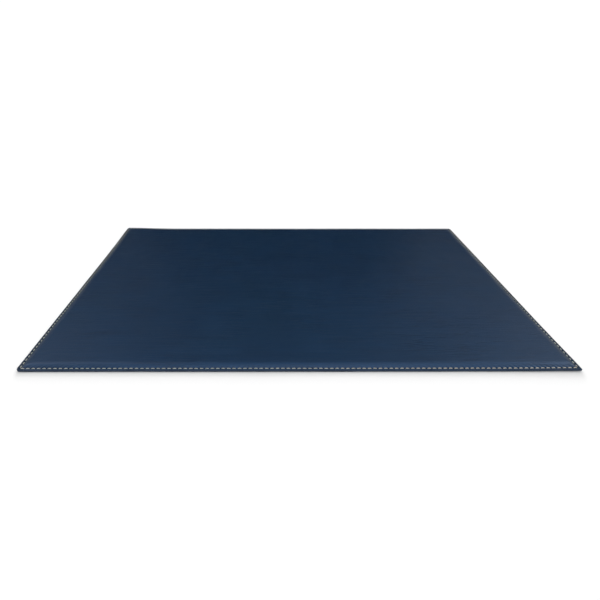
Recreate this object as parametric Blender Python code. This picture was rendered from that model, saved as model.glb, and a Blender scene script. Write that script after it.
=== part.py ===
"""Stitched leather desk mat: a leather top and a suede backing, sewn round the edge over a padded board.

Every piece is a stack of rounded-rectangle loops. A loop is given by its inset from the mat's outer
edge and its height over the desk, so each piece is described by its cross-section at the mat's edge.
Origin: centre of the underside, on the desk. +X runs along the long side, +Y away from the sitter.
"""

import math

import bmesh
import bpy

MM = 0.001

# Outline
MAT_WIDTH = 450 * MM
MAT_DEPTH = 300 * MM
CORNER_RADIUS = 2 * MM
SEAM_CORNER_RADIUS = 0.8 * MM
CORNER_OPENING = 0.5
CORNER_STEPS = 6

# Layers, from the desk up, with the space that the glue between them takes
BACKING = 0.8 * MM
BOARD = 0.6 * MM
FOAM = 0.4 * MM
LEATHER = 0.9 * MM
GAP = 0.3 * MM

# Seam: the needle thread lies on top, and the bobbin thread is sunk into the backing
SEAM = 2.3 * MM
NEEDLE_THREAD = 0.75 * MM
NEEDLE_GROOVE_DEPTH = 0.5 * MM
BOBBIN_THREAD_WIDTH = 0.6 * MM
BOBBIN_THREAD_HEIGHT = 0.26 * MM
BOBBIN_GROOVE_DEPTH = 0.6 * MM
GROOVE_FLARE = 0.1 * MM
THREAD_SIDES = 8

# Edge: insets from the outer edge of the paint bead
COAT = 0.3 * MM
CUT_EDGE = COAT + GAP
ROLL_FOOT = SEAM + NEEDLE_THREAD / 2 + GAP + GROOVE_FLARE
FOAM_EDGE = 4.6 * MM
BOARD_EDGE = 6.8 * MM
ROLL_TOP = 9.8 * MM
ROLL_STEPS = 8
SHOULDER_WIDTH = 0.4 * MM
SHOULDER_DROP = 0.25 * MM
BACKING_CHAMFER = 0.15 * MM
COAT_CHAMFER = 0.35 * MM
COAT_SETBACK = 0.15 * MM

# Heights that follow from the layers
RIM_UNDER = BACKING + GAP
RIM_TOP = RIM_UNDER + LEATHER
CROWN_RISE = BOARD + FOAM + 2 * GAP

SHARP_ANGLE = math.radians(35)

LEATHER_NAVY = {"colour": (0.016, 0.034, 0.066), "roughness": 0.5}
SUEDE_CHARCOAL = {"colour": (0.030, 0.029, 0.030), "roughness": 0.95}
FOAM_GREY = {"colour": (0.42, 0.42, 0.41), "roughness": 0.9}
BOARD_BROWN = {"colour": (0.24, 0.17, 0.11), "roughness": 0.85}
THREAD_ECRU = {"colour": (0.56, 0.50, 0.42), "roughness": 0.7}
COAT_NAVY = {"colour": (0.012, 0.017, 0.028), "roughness": 0.35}


def clear_scene():
    for obj in list(bpy.data.objects):
        bpy.data.objects.remove(obj)


def make_material(name, colour, roughness):
    material = bpy.data.materials.new(name)
    material.use_nodes = True
    shader = material.node_tree.nodes["Principled BSDF"]
    shader.inputs["Base Color"].default_value = (*colour, 1)
    shader.inputs["Roughness"].default_value = roughness
    shader.inputs["Metallic"].default_value = 0
    return material


def corner_radius(inset):
    """Tightens from the outer edge to the seam, and opens again over the rolled border."""
    if inset < SEAM:
        return CORNER_RADIUS - (CORNER_RADIUS - SEAM_CORNER_RADIUS) * inset / SEAM
    return SEAM_CORNER_RADIUS + (inset - SEAM) * CORNER_OPENING


def rounded_rectangle(inset):
    """The (x, y) points of the outline at this inset, anticlockwise."""
    radius = corner_radius(inset)
    centre_x = MAT_WIDTH / 2 - inset - radius
    centre_y = MAT_DEPTH / 2 - inset - radius
    points = []
    for quarter, (side_x, side_y) in enumerate(((1, 1), (-1, 1), (-1, -1), (1, -1))):
        for step in range(CORNER_STEPS + 1):
            angle = (quarter + step / CORNER_STEPS) * math.pi / 2
            x = side_x * centre_x + radius * math.cos(angle)
            y = side_y * centre_y + radius * math.sin(angle)
            points.append((x, y))
    return points


def join_loops(mesh, loop, next_loop):
    for i in range(len(loop)):
        mesh.faces.new((loop[i - 1], loop[i], next_loop[i], next_loop[i - 1]))


def make_piece(name, section, material, ring=False):
    """Skins the loops of a section of (inset, height) points.

    A ring's section closes on itself. Any other piece gets a flat face across its first and last loops.
    """
    mesh = bmesh.new()
    loops = []
    for inset, height in section:
        loops.append([mesh.verts.new((x, y, height)) for x, y in rounded_rectangle(inset)])
    for loop, next_loop in zip(loops, loops[1:]):
        join_loops(mesh, loop, next_loop)
    if ring:
        join_loops(mesh, loops[-1], loops[0])
    else:
        mesh.faces.new(loops[0])
        mesh.faces.new(loops[-1])
    bmesh.ops.recalc_face_normals(mesh, faces=mesh.faces)
    data = bpy.data.meshes.new(name)
    mesh.to_mesh(data)
    mesh.free()
    data.materials.append(material)
    data.shade_smooth()
    data.set_sharp_from_angle(angle=SHARP_ANGLE)
    obj = bpy.data.objects.new(name, data)
    bpy.context.scene.collection.objects.link(obj)


def roll_share(inset):
    """Share of the crown's rise at this inset: 0 at the roll's foot by the seam, 1 on the flat."""
    along = (inset - ROLL_FOOT) / (ROLL_TOP - ROLL_FOOT)
    return math.sin(min(max(along, 0), 1) * math.pi / 2)


def leather_under(inset):
    return RIM_UNDER + CROWN_RISE * roll_share(inset)


def foam_under(inset):
    """The foam lies on the board, and past the board's edge it comes down on the backing."""
    return max(leather_under(inset) - GAP - FOAM, RIM_UNDER)


def roll_insets(outermost):
    """Insets from the flat out to the outermost one, evenly spaced."""
    reach = ROLL_TOP - outermost
    return [ROLL_TOP - reach * step / ROLL_STEPS for step in range(ROLL_STEPS + 1)]


def make_backing(material):
    groove_half = BOBBIN_THREAD_WIDTH / 2 + GAP
    section = [
        (CUT_EDGE, BACKING),
        (CUT_EDGE, BACKING_CHAMFER),
        (CUT_EDGE + BACKING_CHAMFER, 0),
        (SEAM - groove_half - GROOVE_FLARE, 0),
        (SEAM - groove_half, BOBBIN_GROOVE_DEPTH),
        (SEAM + groove_half, BOBBIN_GROOVE_DEPTH),
        (SEAM + groove_half + GROOVE_FLARE, 0),
    ]
    make_piece("backing", section, material)


def make_board(material):
    skived_top = [(inset, foam_under(inset) - GAP) for inset in roll_insets(BOARD_EDGE)]
    make_piece("stiffener_board", skived_top + [(BOARD_EDGE, RIM_UNDER)], material)


def make_foam(material):
    insets = roll_insets(FOAM_EDGE)
    top = [(inset, leather_under(inset) - GAP) for inset in insets]
    underside = [(inset, foam_under(inset)) for inset in reversed(insets)]
    make_piece("foam_underlay", top + underside, material)


def make_leather(material):
    groove_half = NEEDLE_THREAD / 2 + GAP
    groove_floor = RIM_TOP - NEEDLE_GROOVE_DEPTH
    insets = roll_insets(ROLL_FOOT)
    crown = [(inset, leather_under(inset) + LEATHER) for inset in insets]
    groove = [
        (SEAM + groove_half, groove_floor),
        (SEAM - groove_half, groove_floor),
        (SEAM - groove_half - GROOVE_FLARE, RIM_TOP),
    ]
    edge = [
        (CUT_EDGE + SHOULDER_WIDTH, RIM_TOP),
        (CUT_EDGE + SHOULDER_WIDTH / 4, RIM_TOP - SHOULDER_DROP / 3),
        (CUT_EDGE, RIM_TOP - SHOULDER_DROP),
        (CUT_EDGE, RIM_UNDER),
    ]
    underside = [(inset, leather_under(inset)) for inset in reversed(insets)]
    make_piece("top_leather", crown + groove + edge + underside, material)


def make_thread(name, width, height, centre_height, material):
    """An oval thread along the seam line."""
    section = []
    for side in range(THREAD_SIDES):
        angle = (side + 0.5) * math.tau / THREAD_SIDES
        inset = SEAM + width / 2 * math.cos(angle)
        section.append((inset, centre_height + height / 2 * math.sin(angle)))
    make_piece(name, section, material, ring=True)


def make_edge_coat(material):
    """A bead with a rounded face, flat against the cut edges of the leather and the backing."""
    bottom = BACKING_CHAMFER
    top = RIM_TOP - COAT_SETBACK
    section = [
        (COAT, bottom),
        (COAT / 3, bottom + COAT_CHAMFER / 3),
        (0, bottom + COAT_CHAMFER),
        (0, top - COAT_CHAMFER),
        (COAT / 3, top - COAT_CHAMFER / 3),
        (COAT, top),
    ]
    make_piece("edge_coat", section, material, ring=True)


def build_mat():
    make_backing(make_material("suede_charcoal", **SUEDE_CHARCOAL))
    make_board(make_material("board_brown", **BOARD_BROWN))
    make_foam(make_material("foam_grey", **FOAM_GREY))
    make_leather(make_material("leather_navy", **LEATHER_NAVY))
    make_edge_coat(make_material("coat_navy", **COAT_NAVY))

    thread = make_material("thread_ecru", **THREAD_ECRU)
    needle_height = RIM_TOP - NEEDLE_GROOVE_DEPTH + GAP + NEEDLE_THREAD / 2
    make_thread("needle_thread", NEEDLE_THREAD, NEEDLE_THREAD, needle_height, thread)
    bobbin_height = BOBBIN_GROOVE_DEPTH - GAP - BOBBIN_THREAD_HEIGHT / 2
    make_thread("bobbin_thread", BOBBIN_THREAD_WIDTH, BOBBIN_THREAD_HEIGHT, bobbin_height, thread)


clear_scene()
build_mat()
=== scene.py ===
import math
import random

import bmesh
import bpy
from mathutils import Matrix, Vector, noise


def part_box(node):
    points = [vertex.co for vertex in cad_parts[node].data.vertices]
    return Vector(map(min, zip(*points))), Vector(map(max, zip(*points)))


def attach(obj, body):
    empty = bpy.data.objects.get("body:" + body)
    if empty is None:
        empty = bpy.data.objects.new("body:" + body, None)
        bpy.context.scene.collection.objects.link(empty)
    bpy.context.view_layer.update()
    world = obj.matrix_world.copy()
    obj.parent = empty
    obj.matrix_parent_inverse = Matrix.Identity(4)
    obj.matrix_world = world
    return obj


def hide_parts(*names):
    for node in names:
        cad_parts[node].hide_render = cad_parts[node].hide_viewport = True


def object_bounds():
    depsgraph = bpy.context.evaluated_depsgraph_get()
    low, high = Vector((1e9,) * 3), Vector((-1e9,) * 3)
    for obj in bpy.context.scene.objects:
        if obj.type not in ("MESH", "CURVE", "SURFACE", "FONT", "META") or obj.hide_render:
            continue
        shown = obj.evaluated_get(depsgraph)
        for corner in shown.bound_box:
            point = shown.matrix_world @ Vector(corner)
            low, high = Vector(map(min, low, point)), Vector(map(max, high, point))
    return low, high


mm = 0.001
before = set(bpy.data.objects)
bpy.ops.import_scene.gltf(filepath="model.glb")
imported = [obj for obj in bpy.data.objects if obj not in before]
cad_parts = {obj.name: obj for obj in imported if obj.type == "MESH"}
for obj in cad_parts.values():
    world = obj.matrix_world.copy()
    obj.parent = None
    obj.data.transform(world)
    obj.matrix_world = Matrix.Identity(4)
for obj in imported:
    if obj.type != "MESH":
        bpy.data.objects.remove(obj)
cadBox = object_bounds()
random.seed(11)

# the mat's own measures, all from the frame
halfWidth, halfDepth = cadBox[1].x, cadBox[1].y
leatherUnder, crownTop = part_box("top_leather")[0].z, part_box("top_leather")[1].z
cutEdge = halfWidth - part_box("top_leather")[1].x
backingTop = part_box("backing")[1].z
boardEdge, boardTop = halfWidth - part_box("stiffener_board")[1].x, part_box("stiffener_board")[1].z
foamEdge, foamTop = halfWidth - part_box("foam_underlay")[1].x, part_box("foam_underlay")[1].z
coatLow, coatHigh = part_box("edge_coat")[0].z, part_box("edge_coat")[1].z
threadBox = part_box("needle_thread")
threadSize = threadBox[1].z - threadBox[0].z
seamInset = halfWidth - threadBox[1].x + threadSize / 2

border = {
    "cornerRadii": (3.2 * mm, 1.0 * mm, 2 * mm, 2 * mm),  # anticlockwise from the near left
    "seamCornerRadius": 0.8 * mm,
    "opening": 0.5,  # how fast the corners open again inside the seam
    "stitchesAlong": 103,
    "stitchesAcross": 68,
    "perStitch": 5,  # mesh stations to a stitch
    "cornerSteps": 3,  # of them in each half of a corner
    "rimTop": 2.0 * mm,
    "rollFoot": 3.1 * mm,
    "rollEnd": 9.8 * mm,
    "rollSteps": 9,
    "fieldInset": 16 * mm,
    "fieldFade": 20 * mm,  # how far in the field's waves take to grow
    "fieldWaves": (9, 14),  # to the metre, along and across
    "mergeWithin": 0.002 * mm,
}

# how the mat lies: corners that stand off the desk, and slow waves in its edges
lie = {
    "farLeft": 1.3 * mm,
    "nearRight": 0.5 * mm,
    "reach": 55 * mm,
    "edgeWave": 0.12 * mm,
    "wander": 0.12 * mm,
    "waveLength": 70 * mm,
}


def settle(place):
    # where a point of the flat mat lies on the desk
    farLeft = math.hypot(place.x + halfWidth, place.y - halfDepth) / lie["reach"]
    nearRight = math.hypot(place.x - halfWidth, place.y + halfDepth) / lie["reach"]
    up = lie["farLeft"] * math.exp(-2 * farLeft ** 2) + lie["nearRight"] * math.exp(-2 * nearRight ** 2)
    nearEdge = max(abs(place.x) / halfWidth, abs(place.y) / halfDepth) ** 8
    spot = Vector((place.x, place.y, 0)) / lie["waveLength"]
    up += lie["edgeWave"] * nearEdge * (0.5 + noise.noise(spot))
    aside = noise.noise_vector(spot) * lie["wander"]
    return Vector((place.x + aside.x, place.y + aside.y, place.z + up))


def cornerRadius(inset, corner):
    if inset < seamInset:
        share = inset / seamInset
        outer = border["cornerRadii"][corner % 4]
        return outer * (1 - share) + border["seamCornerRadius"] * share
    return border["seamCornerRadius"] + (inset - seamInset) * border["opening"]


# the four sides, anticlockwise from the front:
# direction along, direction out, half length, half depth, stitches
sides = [
    (Vector((1, 0, 0)), Vector((0, -1, 0)), halfWidth, halfDepth, border["stitchesAlong"]),
    (Vector((0, 1, 0)), Vector((1, 0, 0)), halfDepth, halfWidth, border["stitchesAcross"]),
    (Vector((-1, 0, 0)), Vector((0, 1, 0)), halfWidth, halfDepth, border["stitchesAlong"]),
    (Vector((0, -1, 0)), Vector((-1, 0, 0)), halfDepth, halfWidth, border["stitchesAcross"]),
]


def seamReach(step, count, straight, seamArc):
    # how far along the side a station is: even, but closer together where the seam turns
    length = straight + 2 * seamArc
    turning, inStitch = border["cornerSteps"], border["perStitch"]
    if step > count / 2:
        return length - seamReach(count - step, count, straight, seamArc)
    if step <= turning:
        return seamArc * step / turning
    if step < inStitch:
        pitch = length * inStitch / count
        return seamArc + (pitch - seamArc) * (step - turning) / (inStitch - turning)
    return length * step / count


def ringAt(inset):
    # one flat point for each station, from the middle of one corner's arc to the next
    seamArc = border["seamCornerRadius"] * math.pi / 4
    points = []
    for number, (along, out, half, depth, stitches) in enumerate(sides):
        straight = 2 * (half - seamInset - border["seamCornerRadius"])
        startRadius, endRadius = cornerRadius(inset, number), cornerRadius(inset, number + 1)
        start, end = startRadius + inset - half, half - inset - endRadius
        count = stitches * border["perStitch"]
        for step in range(count):
            reach = seamReach(step, count, straight, seamArc)
            if reach < seamArc:
                turn = -(1 - reach / seamArc) * math.pi / 4
                centre, radius = start, startRadius
            elif reach > seamArc + straight:
                turn = (reach - seamArc - straight) / seamArc * math.pi / 4
                centre, radius = end, endRadius
            else:
                turn, radius = 0, 0
                centre = start + (end - start) * (reach - seamArc) / straight
            flat = along * (centre + radius * math.sin(turn))
            points.append(flat + out * (depth - inset - radius + radius * math.cos(turn)))
    return points


stationCount = len(ringAt(seamInset))


def holeNearness(station):
    # 1 at a needle hole and 0 half way along the stitch
    phase = station % border["perStitch"] / border["perStitch"]
    return 0.5 + 0.5 * math.cos(phase * math.tau)


def newPiece():
    # every vertex keeps its station round the mat and its inset from the edge
    bm = bmesh.new()
    bm.verts.layers.int.new("station")
    bm.verts.layers.float.new("inset")
    return bm


def makeRings(bm, rows):
    # rows of (inset, height, dip at the needle holes), each extruded from the one before
    stationOf, insetOf = bm.verts.layers.int["station"], bm.verts.layers.float["inset"]
    verts = bmesh.ops.create_circle(bm, segments=stationCount, radius=halfDepth)["verts"]
    for index, vert in enumerate(verts):
        vert[stationOf] = index
    edges = list({edge for vert in verts for edge in vert.link_edges})
    loops = []
    for number, (inset, height, dip) in enumerate(rows):
        if number:
            grown = bmesh.ops.extrude_edge_only(bm, edges=edges)["geom"]
            verts = [item for item in grown if isinstance(item, bmesh.types.BMVert)]
            fresh = set(verts)
            edges = [item for item in grown if isinstance(item, bmesh.types.BMEdge)]
            edges = [edge for edge in edges if fresh.issuperset(edge.verts)]
        ring = ringAt(inset)
        for vert in verts:
            point = ring[vert[stationOf]]
            vert[insetOf] = inset
            vert.co = (point.x, point.y, height - dip * holeNearness(vert[stationOf]))
        loops.append(edges)
    return loops


def fillField(bm, loop, height, step, wave=0):
    # closes a ring of edges with an even grid, so that the field can lie in waves
    reachX, reachY = halfWidth - border["fieldInset"], halfDepth - border["fieldInset"]
    grid = bmesh.ops.create_grid(
        bm,
        x_segments=round(2 * reachX / step),
        y_segments=round(2 * reachY / step),
        size=1,
        matrix=Matrix.Translation((0, 0, height)) @ Matrix.Diagonal((reachX, reachY, 1, 1)),
    )["verts"]
    rim = list({edge for vert in grid for edge in vert.link_edges if edge.is_boundary})
    bmesh.ops.triangle_fill(bm, use_beauty=True, edges=loop + rim, normal=(0, 0, 1))
    insetOf = bm.verts.layers.float["inset"]
    fadeOver, (wavesAlong, wavesAcross) = border["fieldFade"], border["fieldWaves"]
    for vert in grid:
        x, y = vert.co.x, vert.co.y
        vert[insetOf] = border["fieldInset"]
        fade = min(1, (reachX - abs(x)) / fadeOver, (reachY - abs(y)) / fadeOver)
        vert.co.z += wave * fade * noise.noise(Vector((x * wavesAlong, y * wavesAcross, 0.4)))


def writeSeamMap(bm):
    # a UV map that follows the seam: stitches along it, and millimetres in from the edge
    seamMap = bm.loops.layers.uv.new("seamMap")
    stationOf, insetOf = bm.verts.layers.int["station"], bm.verts.layers.float["inset"]
    for face in bm.faces:
        stations = [loop.vert[stationOf] for loop in face.loops]
        wraps = max(stations) - min(stations) > stationCount / 2
        for loop, station in zip(face.loops, stations):
            if wraps and station < stationCount / 2:
                station += stationCount
            loop[seamMap].uv = (station / border["perStitch"], loop.vert[insetOf] / mm)


def finishPiece(bm, name, material):
    bmesh.ops.remove_doubles(bm, verts=bm.verts, dist=border["mergeWithin"])
    bmesh.ops.recalc_face_normals(bm, faces=bm.faces)
    for vert in bm.verts:
        vert.co = settle(vert.co)
    mesh = bpy.data.meshes.new(name)
    bm.to_mesh(mesh)
    bm.free()
    mesh.materials.append(material)
    mesh.shade_smooth()
    piece = bpy.data.objects.new(name, mesh)
    bpy.context.scene.collection.objects.link(piece)
    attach(piece, "root")
    return piece


def addNode(tree, kind, **values):
    # inputs by name, and anything else as a setting of the node
    node = tree.nodes.new("ShaderNode" + kind)
    for key, value in values.items():
        if key in node.inputs:
            node.inputs[key].default_value = value
        else:
            setattr(node, key, value)
    return node


def wire(tree, source, target):
    tree.links.new(source, target)


def newMaterial(name, roughness, specular):
    material = bpy.data.materials.new(name)
    material.use_nodes = True
    shader = material.node_tree.nodes["Principled BSDF"]
    shader.inputs["Roughness"].default_value = roughness
    shader.inputs["Specular IOR Level"].default_value = specular
    return material, material.node_tree, shader


def objectPlace(tree, stretch=(1, 1, 1), turn=0):
    coords = addNode(tree, "TexCoord")
    mapping = addNode(tree, "Mapping", Scale=stretch, Rotation=(0, 0, math.radians(turn)))
    wire(tree, coords.outputs["Object"], mapping.inputs["Vector"])
    return mapping.outputs["Vector"]


def noiseOf(tree, place, size, detail=2, distortion=0):
    node = addNode(tree, "TexNoise", Scale=1 / size, Detail=detail, Distortion=distortion)
    wire(tree, place, node.inputs["Vector"])
    return node.outputs["Fac"]


def cellsOf(tree, place, size):
    # distance from the nearest side of a cell
    node = addNode(tree, "TexVoronoi", Scale=1 / size, feature="DISTANCE_TO_EDGE")
    wire(tree, place, node.inputs["Vector"])
    return node.outputs["Distance"]


def calc(tree, operation, *values):
    node = addNode(tree, "Math", operation=operation)
    for socket, value in zip(node.inputs, values):
        if isinstance(value, (int, float)):
            socket.default_value = value
        else:
            wire(tree, value, socket)
    return node.outputs["Value"]


def rangeOf(tree, value, fromLow, fromHigh, toLow=0, toHigh=1):
    names = ("From Min", "From Max", "To Min", "To Max")
    node = addNode(tree, "MapRange", **dict(zip(names, (fromLow, fromHigh, toLow, toHigh))))
    wire(tree, value, node.inputs["Value"])
    return node.outputs["Result"]


def blend(tree, factor, first, second):
    # colours are three numbers or another node's colour
    node = addNode(tree, "Mix", data_type="RGBA")
    wire(tree, factor, node.inputs[0])
    for socket, colour in ((node.inputs[6], first), (node.inputs[7], second)):
        if isinstance(colour, tuple):
            socket.default_value = (*colour, 1)
        else:
            wire(tree, colour, socket)
    return node.outputs[2]


def relief(tree, height, distance, under=None):
    node = addNode(tree, "Bump", Distance=distance)
    wire(tree, height, node.inputs["Height"])
    if under:
        wire(tree, under, node.inputs["Normal"])
    return node.outputs["Normal"]


leather = {
    "cutRounding": 0.35 * mm,
    "grooveHalf": 0.45 * mm,
    "grooveDepth": 0.42 * mm,
    "holeDepth": 0.45 * mm,
    "puckerDepth": 0.14 * mm,
    "topRollEnd": 9.2 * mm,
    "fieldStep": 3 * mm,
    "fieldWave": 0.12 * mm,
    "dark": (0.0028, 0.0134, 0.0350),
    "light": (0.0036, 0.0160, 0.0400),
    "teal": (0.0029, 0.0163, 0.0370),
    "mottleAndPaintedShade": (0.0015, 0.0035, 0.0080),  # darker mottling, and painted shade in the creases, folds, seam groove and side strips
    "tint": (0.02, 0.35, 1.0),
    "roughness": 0.42,
    "specular": 0.5,
    "finish": 0.3,  # weight of the clear finish over the dye
    "finishRoughness": 0.3,
    "toneSize": 110 * mm,
    "tealSize": 160 * mm,
    "tealTurn": 40,
    "tealShare": 0.5,
    "mottleSize": 5 * mm,
    "mottleShade": 0.25,
    "creaseShade": 0.4,
    "foldShade": 0.6,
    "grooveShade": 0.8,
    "wearSize": 30 * mm,
    "glossiest": 0.37,  # roughness, which varies from place to place
    "dullest": 0.49,
    "grainSize": 0.9 * mm,
    "grainDepth": 0.03 * mm,
    "poreSize": 0.25 * mm,
    "poreDepth": 0.008 * mm,
    "creaseWidth": 4 * mm,
    "creaseLength": 55 * mm,
    "creaseDepth": 0.15 * mm,
    "creasePatch": 90 * mm,
    "creaseTurn": 2,
    "creaseEdge": 0.055,
    "creaseLeast": 0.3,  # how strong creases are between the patches
    "puckerReach": 4.0,  # millimetres in from the seam
    "puckerWander": 0.22,  # in stitches
    "puckerWanderSize": 6 * mm,
    "puckerSharpness": 3.0,
    "grooveReach": (0.2, 0.9),  # millimetres from the seam, full and none
}

# a strip just inside the seam of each short side, with painted shade in its colour and a duller finish
shadedSideStrip = {
    "sideStart": 7 * mm,
    "sideFull": 5 * mm,
    "reach": (0.8, 2.4),  # millimetres in from the seam, full and none
    "shade": 0.95,
    "roughness": 0.6,
}


def underAt(inset):
    # height of the leather's underside over the padding
    share = (inset - border["rollFoot"]) / (border["rollEnd"] - border["rollFoot"])
    share = min(max(share, 0), 1)
    return leatherUnder + (crownTop - border["rimTop"]) * math.sin(share * math.pi / 2)


def rollInsets(outermost):
    reach = border["rollEnd"] - outermost
    return [outermost + reach * step / border["rollSteps"] for step in range(border["rollSteps"] + 1)]


def leatherRows():
    rim, half, dip = border["rimTop"], leather["grooveHalf"], leather["holeDepth"]
    floor, rounding = rim - leather["grooveDepth"], leather["cutRounding"]
    rows = [(inset, underAt(inset), 0) for inset in reversed(rollInsets(border["rollFoot"]))]
    rows += [
        (cutEdge, leatherUnder, 0),
        (cutEdge, rim - rounding, 0),
        (cutEdge + rounding * 0.3, rim - rounding * 0.3, 0),
        (cutEdge + rounding, rim, 0),
        (seamInset - half * 1.6, rim, 0),
        (seamInset - half, rim - 0.1 * mm, dip * 0.3),
        (seamInset - half * 0.55, floor + 0.08 * mm, dip * 0.6),
        (seamInset, floor, dip),
        (seamInset + half * 0.55, floor + 0.08 * mm, dip * 0.6),
        (seamInset + half, rim - 0.1 * mm, dip * 0.3),
    ]
    foot = seamInset + half * 1.7
    for step in range(border["rollSteps"] + 1):
        share = step / border["rollSteps"]
        inset = foot + (leather["topRollEnd"] - foot) * share
        height = rim + (crownTop - rim) * math.sin(share * math.pi / 2)
        rows.append((inset, height, leather["puckerDepth"] * (1 - share) ** 3))
    rows.append((border["rollEnd"] + 2 * mm, crownTop, 0))
    return rows


def puckerPattern(tree):
    # short folds that run in from each needle hole
    seam = addNode(tree, "UVMap", uv_map="seamMap")
    parts = addNode(tree, "SeparateXYZ")
    wire(tree, seam.outputs["UV"], parts.inputs["Vector"])
    most = leather["puckerWander"]
    wander = noiseOf(tree, objectPlace(tree), leather["puckerWanderSize"])
    wander = rangeOf(tree, wander, 0.3, 0.7, -most, most)
    along = calc(tree, "ADD", parts.outputs["X"], wander)
    wave = calc(tree, "COSINE", calc(tree, "MULTIPLY", along, math.tau))
    fold = calc(tree, "MULTIPLY_ADD", wave, 0.5, 0.5)
    fold = calc(tree, "POWER", fold, leather["puckerSharpness"])
    inner = seamInset / mm
    reach = rangeOf(tree, parts.outputs["Y"], inner + 0.3, inner + leather["puckerReach"], 1, 0)
    outside = rangeOf(tree, parts.outputs["Y"], inner - 0.3, inner + 0.3, 0, 1)
    nearSeam = calc(tree, "MULTIPLY", reach, outside)
    fromSeam = calc(tree, "ABSOLUTE", calc(tree, "SUBTRACT", parts.outputs["Y"], inner))
    groove = rangeOf(tree, fromSeam, *leather["grooveReach"], 1, 0)
    return calc(tree, "MULTIPLY", fold, nearSeam), groove


def shadedSideStripPattern(tree):
    # 1 just inside the seam of each short side, where shade is painted into the colour
    across = addNode(tree, "SeparateXYZ")
    wire(tree, objectPlace(tree), across.inputs["Vector"])
    side = calc(tree, "ABSOLUTE", across.outputs["X"])
    side = rangeOf(tree, side, halfWidth - shadedSideStrip["sideStart"], halfWidth - shadedSideStrip["sideFull"])
    seam = addNode(tree, "UVMap", uv_map="seamMap")
    parts = addNode(tree, "SeparateXYZ")
    wire(tree, seam.outputs["UV"], parts.inputs["Vector"])
    full, none = (seamInset / mm + reach for reach in shadedSideStrip["reach"])
    return calc(tree, "MULTIPLY", side, rangeOf(tree, parts.outputs["Y"], full, none, 1, 0))


def makeLeatherLook():
    material, tree, shader = newMaterial("navyLeather", leather["roughness"], leather["specular"])
    shader.inputs["Specular Tint"].default_value = (*leather["tint"], 1)
    shader.inputs["Coat Weight"].default_value = leather["finish"]
    shader.inputs["Coat Roughness"].default_value = leather["finishRoughness"]
    flat = objectPlace(tree)
    stretch = (leather["creaseWidth"] / leather["creaseLength"], 1, 1)
    lengthways = objectPlace(tree, stretch, leather["creaseTurn"])

    # creases, in patches, that run from left to right
    wavy = noiseOf(tree, lengthways, leather["creaseWidth"], 2, 0.6)
    ridge = calc(tree, "ABSOLUTE", calc(tree, "SUBTRACT", wavy, 0.5))
    ridge = rangeOf(tree, ridge, 0, leather["creaseEdge"], 1, 0)
    patch = noiseOf(tree, flat, leather["creasePatch"])
    patch = rangeOf(tree, patch, 0.40, 0.60, leather["creaseLeast"], 1)
    crease = calc(tree, "MULTIPLY", ridge, patch)
    fold, groove = puckerPattern(tree)

    # colour: broad tone, mottling, and painted shade in the creases, folds, seam groove and side strips
    tone = rangeOf(tree, noiseOf(tree, flat, leather["toneSize"], 3), 0.3, 0.7)
    colour = blend(tree, tone, leather["dark"], leather["light"])
    tealTone = noiseOf(tree, objectPlace(tree, turn=leather["tealTurn"]), leather["tealSize"], 1)
    tealTone = rangeOf(tree, tealTone, 0.45, 0.75, 0, leather["tealShare"])
    colour = blend(tree, tealTone, colour, leather["teal"])
    mottle = noiseOf(tree, lengthways, leather["mottleSize"], 4)
    shade = rangeOf(tree, mottle, 0.3, 0.7, 0, leather["mottleShade"])
    # painted shade: darker in the creases, in the folds by the needle holes and in the seam groove
    shade = calc(tree, "ADD", shade, calc(tree, "MULTIPLY", crease, leather["creaseShade"]))
    shade = calc(tree, "ADD", shade, calc(tree, "MULTIPLY", fold, leather["foldShade"]))
    shade = calc(tree, "MAXIMUM", shade, calc(tree, "MULTIPLY", groove, leather["grooveShade"]))
    strip = shadedSideStripPattern(tree)
    # painted shade over the strips inside the short sides' seams
    shade = calc(tree, "MAXIMUM", shade, calc(tree, "MULTIPLY", strip, shadedSideStrip["shade"]))
    wire(tree, blend(tree, shade, colour, leather["mottleAndPaintedShade"]), shader.inputs["Base Color"])

    # some places are glossier, and the side strips are duller
    wear = noiseOf(tree, flat, leather["wearSize"], 4)
    worn = rangeOf(tree, wear, 0.3, 0.7, leather["glossiest"], leather["dullest"])
    dulled = calc(tree, "MULTIPLY", strip, shadedSideStrip["roughness"])
    wire(tree, calc(tree, "MAXIMUM", worn, dulled), shader.inputs["Roughness"])

    cells = rangeOf(tree, cellsOf(tree, flat, leather["grainSize"]), 0, 0.3)
    normal = relief(tree, calc(tree, "SUBTRACT", 1, crease), leather["creaseDepth"])
    normal = relief(tree, calc(tree, "SUBTRACT", 1, fold), leather["puckerDepth"], normal)
    normal = relief(tree, cells, leather["grainDepth"], normal)
    normal = relief(tree, noiseOf(tree, flat, leather["poreSize"]), leather["poreDepth"], normal)
    wire(tree, normal, shader.inputs["Normal"])
    return material


def makeLeather():
    bm = newPiece()
    loops = makeRings(bm, leatherRows())
    fillField(bm, loops[0], underAt(border["rollEnd"]), 4 * leather["fieldStep"])
    fillField(bm, loops[-1], crownTop, leather["fieldStep"], leather["fieldWave"])
    writeSeamMap(bm)
    return finishPiece(bm, "leatherPanel", makeLeatherLook())


leatherPanel = makeLeather()
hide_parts("top_leather")
print("leather made,", len(leatherPanel.data.polygons), "faces")

foam = {
    "colour": (0.42, 0.42, 0.41),
    "dusty": (0.34, 0.33, 0.31),
    # painted shade in the hollows along the cells' edges
    "cellGrooveShade": (0.16, 0.16, 0.15),
    "speckleSize": 2 * mm,
    "cellSize": 0.5 * mm,
    "cellDepth": 0.05 * mm,
    "thickness": foamTop - boardTop - (leatherUnder - backingTop),
    "fieldStep": 12 * mm,
}


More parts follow.
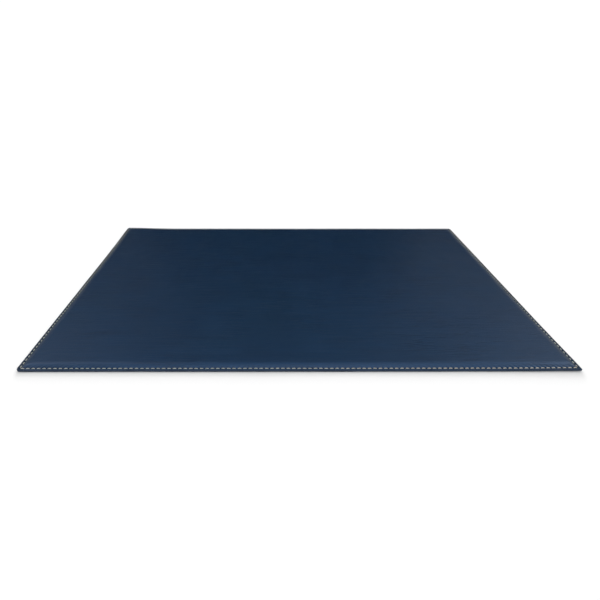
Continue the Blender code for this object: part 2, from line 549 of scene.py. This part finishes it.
def makeFoamLook():
    material, tree, shader = newMaterial("greyFoam", 0.9, 0.2)
    flat = objectPlace(tree)
    cells = cellsOf(tree, flat, foam["cellSize"])
    speckle = noiseOf(tree, flat, foam["speckleSize"], 4)
    colour = blend(tree, rangeOf(tree, speckle, 0.35, 0.65), foam["colour"], foam["dusty"])
    # painted shade in the hollows along the cells' edges
    colour = blend(tree, rangeOf(tree, cells, 0, 0.2, 0.4, 0), colour, foam["cellGrooveShade"])
    wire(tree, colour, shader.inputs["Base Color"])
    wire(tree, relief(tree, cells, foam["cellDepth"]), shader.inputs["Normal"])
    return material


def makeFoam():
    # it comes down past the board's edge to the backing
    gap = leatherUnder - backingTop
    under = [max(underAt(inset) - gap - foam["thickness"], leatherUnder) for inset in rollInsets(foamEdge)]
    top = [underAt(inset) - gap for inset in rollInsets(foamEdge)]
    rows = [(inset, height, 0) for inset, height in zip(rollInsets(foamEdge), under)][::-1]
    rows += [(inset, height, 0) for inset, height in zip(rollInsets(foamEdge), top)]
    bm = newPiece()
    loops = makeRings(bm, rows)
    fillField(bm, loops[0], under[-1], foam["fieldStep"])
    fillField(bm, loops[-1], top[-1], foam["fieldStep"])
    return finishPiece(bm, "foamPad", makeFoamLook())


foamPad = makeFoam()
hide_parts("foam_underlay")
print("foam made")

board = {
    "colour": (0.24, 0.17, 0.11),
    "fibre": (0.38, 0.29, 0.20),
    "fibreWidth": 0.3 * mm,
    "fibreLength": 4 * mm,
    "fibreDepth": 0.02 * mm,
    "fibreTurn": 20,
    "blotchSize": 14 * mm,
    "fieldStep": 12 * mm,
}


def makeBoardLook():
    material, tree, shader = newMaterial("brownBoard", 0.85, 0.3)
    stretch = (board["fibreWidth"] / board["fibreLength"], 1, 1)
    fibres = noiseOf(tree, objectPlace(tree, stretch, board["fibreTurn"]), board["fibreWidth"])
    blotches = noiseOf(tree, objectPlace(tree), board["blotchSize"], 5)
    colour = blend(tree, rangeOf(tree, fibres, 0.4, 0.7), board["colour"], board["fibre"])
    colour = blend(tree, rangeOf(tree, blotches, 0.4, 0.8, 0, 0.5), colour, board["colour"])
    wire(tree, colour, shader.inputs["Base Color"])
    wire(tree, relief(tree, fibres, board["fibreDepth"]), shader.inputs["Normal"])
    return material


def makeBoard():
    # its top is pared away towards the edge
    drop = foamTop + (leatherUnder - backingTop) - boardTop
    rows = [(boardEdge, leatherUnder, 0)]
    for inset in rollInsets(boardEdge):
        rows.append((inset, underAt(inset) - drop, 0))
    bm = newPiece()
    loops = makeRings(bm, rows)
    fillField(bm, loops[0], leatherUnder, board["fieldStep"])
    fillField(bm, loops[-1], boardTop, board["fieldStep"])
    return finishPiece(bm, "boardCore", makeBoardLook())


boardCore = makeBoard()
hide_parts("stiffener_board")
print("board made")

suede = {
    "chamfer": 0.15 * mm,
    "grooveDepth": 0.35 * mm,
    "grooveHalf": 0.35 * mm,
    "holeDepth": 0.1 * mm,
    "fieldStep": 8 * mm,
    "colour": (0.026, 0.025, 0.026),
    "brushed": (0.040, 0.039, 0.041),
    # painted shade in the low places of the nap
    "napHollowShade": (0.010, 0.010, 0.010),
    "sheen": 0.25,
    "sheenRoughness": 0.5,
    "napSize": 0.22 * mm,
    "napDepth": 0.06 * mm,
    "brushSize": 30 * mm,
}


def makeSuedeLook():
    material, tree, shader = newMaterial("charcoalSuede", 0.95, 0.2)
    shader.inputs["Sheen Weight"].default_value = suede["sheen"]
    shader.inputs["Sheen Roughness"].default_value = suede["sheenRoughness"]
    nap = noiseOf(tree, objectPlace(tree, (0.6, 1, 1), 25), suede["napSize"], 3)
    strokes = noiseOf(tree, objectPlace(tree, (0.35, 1, 1), 15), suede["brushSize"], 4)
    colour = blend(tree, rangeOf(tree, strokes, 0.42, 0.6), suede["colour"], suede["brushed"])
    # painted shade in the low places of the nap
    colour = blend(tree, rangeOf(tree, nap, 0.35, 0.65, 0.45, 0), colour, suede["napHollowShade"])
    wire(tree, colour, shader.inputs["Base Color"])
    wire(tree, relief(tree, nap, suede["napDepth"]), shader.inputs["Normal"])
    return material


def makeBacking():
    deep, half, chamfer = suede["grooveDepth"], suede["grooveHalf"], suede["chamfer"]
    rows = [
        (border["rollEnd"], backingTop, 0),
        (cutEdge, backingTop, 0),
        (cutEdge, chamfer, 0),
        (cutEdge + chamfer, 0, 0),
        (seamInset - half * 1.7, 0, 0),
        (seamInset - half, deep * 0.7, 0),
        (seamInset, deep, -suede["holeDepth"]),
        (seamInset + half, deep * 0.7, 0),
        (seamInset + half * 1.7, 0, 0),
        (border["rollEnd"], 0, 0),
    ]
    bm = newPiece()
    loops = makeRings(bm, rows)
    fillField(bm, loops[0], backingTop, suede["fieldStep"])
    fillField(bm, loops[-1], 0, suede["fieldStep"])
    return finishPiece(bm, "suedeBacking", makeSuedeLook())


suedeBacking = makeBacking()
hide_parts("backing")
print("backing made")

coat = {
    "colour": (0.005, 0.011, 0.022),
    "thin": (0.013, 0.017, 0.025),  # where the cut edges show through the paint
    "paintedFrontLight": (0.034, 0.052, 0.086),  # painted light: the front edge is lighter than the sides
    "tint": (0.7, 0.8, 1.0),
    "roughness": 0.42,
    "specular": 0.1,
    "smooth": 0.34,  # roughness of the smoothest and the roughest strokes
    "rough": 0.55,
    "layerSize": 0.4 * mm,
    "paintedFrontLightFull": 1 * mm,  # in from the front edge
    "paintedFrontLightEnd": 3 * mm,
    "brushLength": 12 * mm,
    "ripple": 0.05 * mm,
    "bevel": 0.15 * mm,
}


def makeCoatLook():
    material, tree, shader = newMaterial("edgePaint", coat["roughness"], coat["specular"])
    shader.inputs["Specular Tint"].default_value = (*coat["tint"], 1)
    strokes = noiseOf(tree, objectPlace(tree, (0.1, 0.1, 1)), coat["brushLength"] * 0.1, 4)
    layers = noiseOf(tree, objectPlace(tree, (0.05, 0.05, 1)), coat["layerSize"], 2)
    thin = rangeOf(tree, calc(tree, "MULTIPLY", strokes, layers), 0.22, 0.42)
    colour = blend(tree, thin, coat["colour"], coat["thin"])
    parts = addNode(tree, "SeparateXYZ")
    wire(tree, objectPlace(tree), parts.inputs["Vector"])
    # painted light along the front edge, broken up by the brush strokes
    full, end = -halfDepth + coat["paintedFrontLightFull"], -halfDepth + coat["paintedFrontLightEnd"]
    front = rangeOf(tree, parts.outputs["Y"], full, end, 1, 0)
    front = calc(tree, "MULTIPLY", front, rangeOf(tree, strokes, 0.3, 0.6, 0.6, 1))
    wire(tree, blend(tree, front, colour, coat["paintedFrontLight"]), shader.inputs["Base Color"])
    roughness = rangeOf(tree, strokes, 0.3, 0.7, coat["smooth"], coat["rough"])
    wire(tree, roughness, shader.inputs["Roughness"])
    wire(tree, relief(tree, strokes, coat["ripple"]), shader.inputs["Normal"])
    return material


def makeCoat():
    inner, bevel = cutEdge + 0.05 * mm, coat["bevel"]
    rows = [
        (inner, coatLow, 0),
        (bevel, coatLow + bevel * 0.7, 0),
        (0, coatLow + bevel * 2.7, 0),
        (0, coatHigh - bevel * 2.7, 0),
        (bevel, coatHigh - bevel * 0.7, 0),
        (inner, coatHigh, 0),
    ]
    bm = newPiece()
    makeRings(bm, rows + rows[:1])
    return finishPiece(bm, "paintedEdge", makeCoatLook())


paintedEdge = makeCoat()
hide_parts("edge_coat")
print("edge made")

stitch = {
    "gauge": 0.70 * mm,
    "length": 3.1 * mm,
    "rise": 0.55 * mm,
    "sides": 8,
    "steps": 6,
    "plies": 2,
    "plyTurns": 1.5,  # turns of the twist in one stitch
    "plyDepth": 0.12,
    "sink": 0.12 * mm,
    "underHeight": 0.42 * mm,
    "sway": 0.04,  # radians that a stitch may lie askew
    "stretch": (0.95, 1.03),  # least and most of the length
    "sideStretch": 0.88,  # stitches on the short sides are a little shorter
    "colour": (0.53, 0.57, 0.51),
    "tan": (0.76, 0.68, 0.56),
    # darker tone of some fibres, and painted shade between the plies
    "fibreToneAndPlyShade": (0.20, 0.20, 0.17),
    "endColour": (0.03, 0.035, 0.045),
    "endShare": 0.15,  # of each end, where the thread is shaded by its hole
    "toneSize": 25 * mm,
    "fibreSize": 0.15 * mm,
    "fibreDepth": 0.02 * mm,
    "plyRelief": 0.05 * mm,
    "plyShade": 0.7,
    "frontFull": 3 * mm,  # the front row, measured in from the edge
    "frontEnd": 5 * mm,
    "tanStart": -60 * mm,  # along the front row, where the tan begins and is full
    "tanFull": 120 * mm,
}


def makeStitchShape():
    # an arch of thread, spun about an axis under the seam, that dives into the leather at both ends
    bm = bmesh.new()
    chord, rise = stitch["length"], stitch["rise"]
    radius = chord ** 2 / (8 * rise) + rise / 2
    half = math.asin(chord / 2 / radius)
    upright = Matrix.Rotation(math.pi / 2, 4, "Y")
    place = Matrix.Rotation(-half, 4, "Y") @ Matrix.Translation((0, 0, radius)) @ upright
    bmesh.ops.create_circle(bm, segments=stitch["sides"], radius=stitch["gauge"] / 2, matrix=place)
    bmesh.ops.spin(
        bm,
        geom=bm.verts[:] + bm.edges[:],
        cent=(0, 0, 0),
        axis=(0, 1, 0),
        angle=2 * half,
        steps=stitch["steps"],
    )
    bmesh.ops.holes_fill(bm, edges=[edge for edge in bm.edges if edge.is_boundary])
    bmesh.ops.recalc_face_normals(bm, faces=bm.faces)

    # two plies, twisted: the thread is waisted between them, and its map follows them
    plyMap = bm.loops.layers.uv.new("plyMap")
    spots = {}
    for vert in bm.verts:
        turned, reach = math.atan2(vert.co.x, vert.co.z), math.hypot(vert.co.x, vert.co.z)
        share = 0.5 + turned / half / 2
        around = math.atan2(vert.co.y, reach - radius)
        twist = math.tau * stitch["plyTurns"] * share
        waist = 1 + stitch["plyDepth"] * math.cos(stitch["plies"] * (around - twist))
        out = (reach - radius) * waist + radius
        vert.co = (out * math.sin(turned), vert.co.y * waist, out * math.cos(turned) - radius)
        spots[vert] = (share, around / math.tau)
    for face in bm.faces:
        first = spots[face.loops[0].vert][1]
        for loop in face.loops:
            share, around = spots[loop.vert]
            loop[plyMap].uv = (share, around + round(first - around))
    mesh = bpy.data.meshes.new("stitchShape")
    bm.to_mesh(mesh)
    bm.free()
    return mesh


def makeThreadLook():
    material, tree, shader = newMaterial("creamThread", 0.7, 0.3)
    plies = addNode(tree, "UVMap", uv_map="plyMap")
    parts = addNode(tree, "SeparateXYZ")
    wire(tree, plies.outputs["UV"], parts.inputs["Vector"])
    twist = calc(tree, "MULTIPLY", parts.outputs["X"], stitch["plyTurns"])
    turn = calc(tree, "SUBTRACT", parts.outputs["Y"], twist)
    ply = calc(tree, "COSINE", calc(tree, "MULTIPLY", turn, math.tau * stitch["plies"]))
    groove = rangeOf(tree, ply, -1, -0.2, 1, 0)
    shades = noiseOf(tree, objectPlace(tree), stitch["toneSize"], 3)
    fibres = noiseOf(tree, objectPlace(tree), stitch["fibreSize"], 3)
    # warmer along the right of the front, and a little in places elsewhere
    spot = addNode(tree, "SeparateXYZ")
    wire(tree, objectPlace(tree), spot.inputs["Vector"])
    full, end = -halfDepth + stitch["frontFull"], -halfDepth + stitch["frontEnd"]
    front = rangeOf(tree, spot.outputs["Y"], full, end, 1, 0)
    rightwards = rangeOf(tree, spot.outputs["X"], stitch["tanStart"], stitch["tanFull"])
    warm = calc(tree, "MULTIPLY", front, rightwards)
    warm = calc(tree, "MAXIMUM", warm, rangeOf(tree, shades, 0.4, 0.65, 0, 0.3))
    colour = blend(tree, warm, stitch["colour"], stitch["tan"])
    colour = blend(tree, rangeOf(tree, fibres, 0.3, 0.7, 0, 0.2), colour, stitch["fibreToneAndPlyShade"])
    # painted shade in the groove between the two plies
    colour = blend(tree, calc(tree, "MULTIPLY", groove, stitch["plyShade"]), colour, stitch["fibreToneAndPlyShade"])
    fromMiddle = calc(tree, "ABSOLUTE", calc(tree, "SUBTRACT", parts.outputs["X"], 0.5))
    ends = rangeOf(tree, fromMiddle, 0.5 - stitch["endShare"], 0.5 - stitch["endShare"] / 3)
    wire(tree, blend(tree, ends, colour, stitch["endColour"]), shader.inputs["Base Color"])
    normal = relief(tree, ply, stitch["plyRelief"])
    wire(tree, relief(tree, fibres, stitch["fibreDepth"], normal), shader.inputs["Normal"])
    return material


def makeStitches(name, height, down, look):
    shape = makeStitchShape()
    ring = ringAt(seamInset)
    holes = ring[:: border["perStitch"]]
    bm = bmesh.new()
    for index, start in enumerate(holes):
        end = holes[(index + 1) % len(holes)]
        middle = (start + end) / 2
        heading = math.atan2(end.y - start.y, end.x - start.x)
        heading += random.uniform(-stitch["sway"], stitch["sway"])
        onSide = abs(middle.x) > halfWidth - seamInset - 1 * mm
        length = random.uniform(*stitch["stretch"]) * (stitch["sideStretch"] if onSide else 1)
        stretch = Matrix.Diagonal((length, 1, 1, 1))
        flip = Matrix.Rotation(math.pi, 4, "X") if down else Matrix.Identity(4)
        spot = Matrix.Translation((middle.x, middle.y, height))
        place = spot @ Matrix.Rotation(heading, 4, "Z") @ flip @ stretch
        before = len(bm.verts)
        bm.from_mesh(shape)
        bm.verts.ensure_lookup_table()
        bmesh.ops.transform(bm, matrix=place, verts=bm.verts[before:])
    bpy.data.meshes.remove(shape)
    return finishPiece(bm, name, look)


creamThread = makeThreadLook()
topStitches = makeStitches("topStitches", border["rimTop"] - stitch["sink"], False, creamThread)
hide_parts("needle_thread")
underStitches = makeStitches("underStitches", stitch["underHeight"], True, creamThread)
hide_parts("bobbin_thread")
print("stitches made,", len(topStitches.data.polygons), "faces on each side")


floor = {
    "reach": 30,
    "drop": 0.05 * mm,  # keeps it just under the mat
    "colour": (0.9, 0.9, 0.9),
}


def makeFloor():
    bm = bmesh.new()
    bmesh.ops.create_grid(bm, x_segments=1, y_segments=1, size=floor["reach"])
    bmesh.ops.translate(bm, verts=bm.verts, vec=(0, 0, -floor["drop"]))
    mesh = bpy.data.meshes.new("studioFloor")
    bm.to_mesh(mesh)
    bm.free()
    material, tree, shader = newMaterial("paleFloor", 1, 0)
    shader.inputs["Base Color"].default_value = (*floor["colour"], 1)
    mesh.materials.append(material)
    studioFloor = bpy.data.objects.new("studioFloor", mesh)
    bpy.context.scene.collection.objects.link(studioFloor)


# a white dome, brighter behind the mat, lights the floor,
# and soft cards that only show as gloss shape the leather
lights = {
    "backdrop": 1.05,
    "dome": 0.93,
    "backGlow": 31,
    "glowFocus": 20,
    "cardDistance": 1.3,
    "cards": {  # azimuth from straight behind the mat, elevation, size, watts
        "frontCard": (180, 70, 1.2, 8.4),
        "overCard": (120, 76, 1.2, 4.05),
        "backCard": (0, 65, 0.9, 1.3),
        "rightCard": (85, 32, 0.7, 4.9),
        "leftCard": (-85, 32, 0.7, 4.5),
        "highRightCard": (60, 55, 0.7, 1.25),
        "highLeftCard": (-60, 55, 0.7, 2.1),
        "midRightCard": (62, 32, 0.7, 0.53),
        "midLeftCard": (-62, 32, 0.7, 0.27),
        "innerRightCard": (40, 32, 0.7, 0.4),
        "innerLeftCard": (-40, 32, 0.7, 0.25),
    },
}


def addCard(name, azimuth, elevation, size, power):
    data = bpy.data.lights.new(name, "AREA")
    data.size = size
    data.energy = power
    card = bpy.data.objects.new(name, data)
    aim = Matrix.Rotation(math.radians(-azimuth), 4, "Z") @ Matrix.Rotation(math.radians(elevation), 4, "X")
    card.location = aim @ Vector((0, lights["cardDistance"], 0))
    card.rotation_euler = (-card.location).to_track_quat("-Z", "Y").to_euler()
    card.visible_diffuse = False
    bpy.context.scene.collection.objects.link(card)


def makeWorld():
    world = bpy.data.worlds.new("studio")
    world.use_nodes = True
    tree = world.node_tree
    backdrop = tree.nodes["Background"]
    backdrop.inputs["Color"].default_value = (1, 1, 1, 1)
    backdrop.inputs["Strength"].default_value = lights["backdrop"]

    direction = addNode(tree, "SeparateXYZ")
    wire(tree, addNode(tree, "TexCoord").outputs["Generated"], direction.inputs["Vector"])
    behind = calc(tree, "POWER", calc(tree, "MAXIMUM", direction.outputs["Y"], 0), lights["glowFocus"])
    dome = addNode(tree, "Background", Color=(1, 1, 1, 1))
    glow = calc(tree, "MULTIPLY_ADD", behind, lights["backGlow"], lights["dome"])
    wire(tree, glow, dome.inputs["Strength"])

    # the camera sees a plain white backdrop, and gloss sees only the cards
    mix = addNode(tree, "MixShader")
    wire(tree, addNode(tree, "LightPath").outputs["Is Camera Ray"], mix.inputs["Fac"])
    wire(tree, dome.outputs["Background"], mix.inputs[1])
    wire(tree, backdrop.outputs["Background"], mix.inputs[2])
    wire(tree, mix.outputs["Shader"], tree.nodes["World Output"].inputs["Surface"])
    world.cycles_visibility.glossy = False
    bpy.context.scene.world = world


view = {
    "place": (-0.0183, -0.4066, 0.2229),
    "pitch": 31.273,
    "yaw": 0.179,
    "roll": 0.064,
    "focal": 0.7027,  # in sensor widths
    "shift": 0.0378,
}


def makeCamera():
    data = bpy.data.cameras.new("studioCamera")
    data.lens = data.sensor_width * view["focal"]
    data.shift_x = view["shift"]
    data.clip_start = 0.01
    camera = bpy.data.objects.new("studioCamera", data)
    tilt = Matrix.Rotation(math.radians(90 - view["pitch"]), 4, "X")
    roll = Matrix.Rotation(math.radians(view["roll"]), 4, "Z")
    yaw = Matrix.Rotation(math.radians(-view["yaw"]), 4, "Z")
    camera.matrix_world = Matrix.Translation(view["place"]) @ yaw @ tilt @ roll
    bpy.context.scene.collection.objects.link(camera)
    bpy.context.scene.camera = camera


makeFloor()
makeWorld()
for cardName, card in lights["cards"].items():
    addCard(cardName, *card)
makeCamera()
bpy.context.scene.view_settings.view_transform = "Standard"
print("studio made")
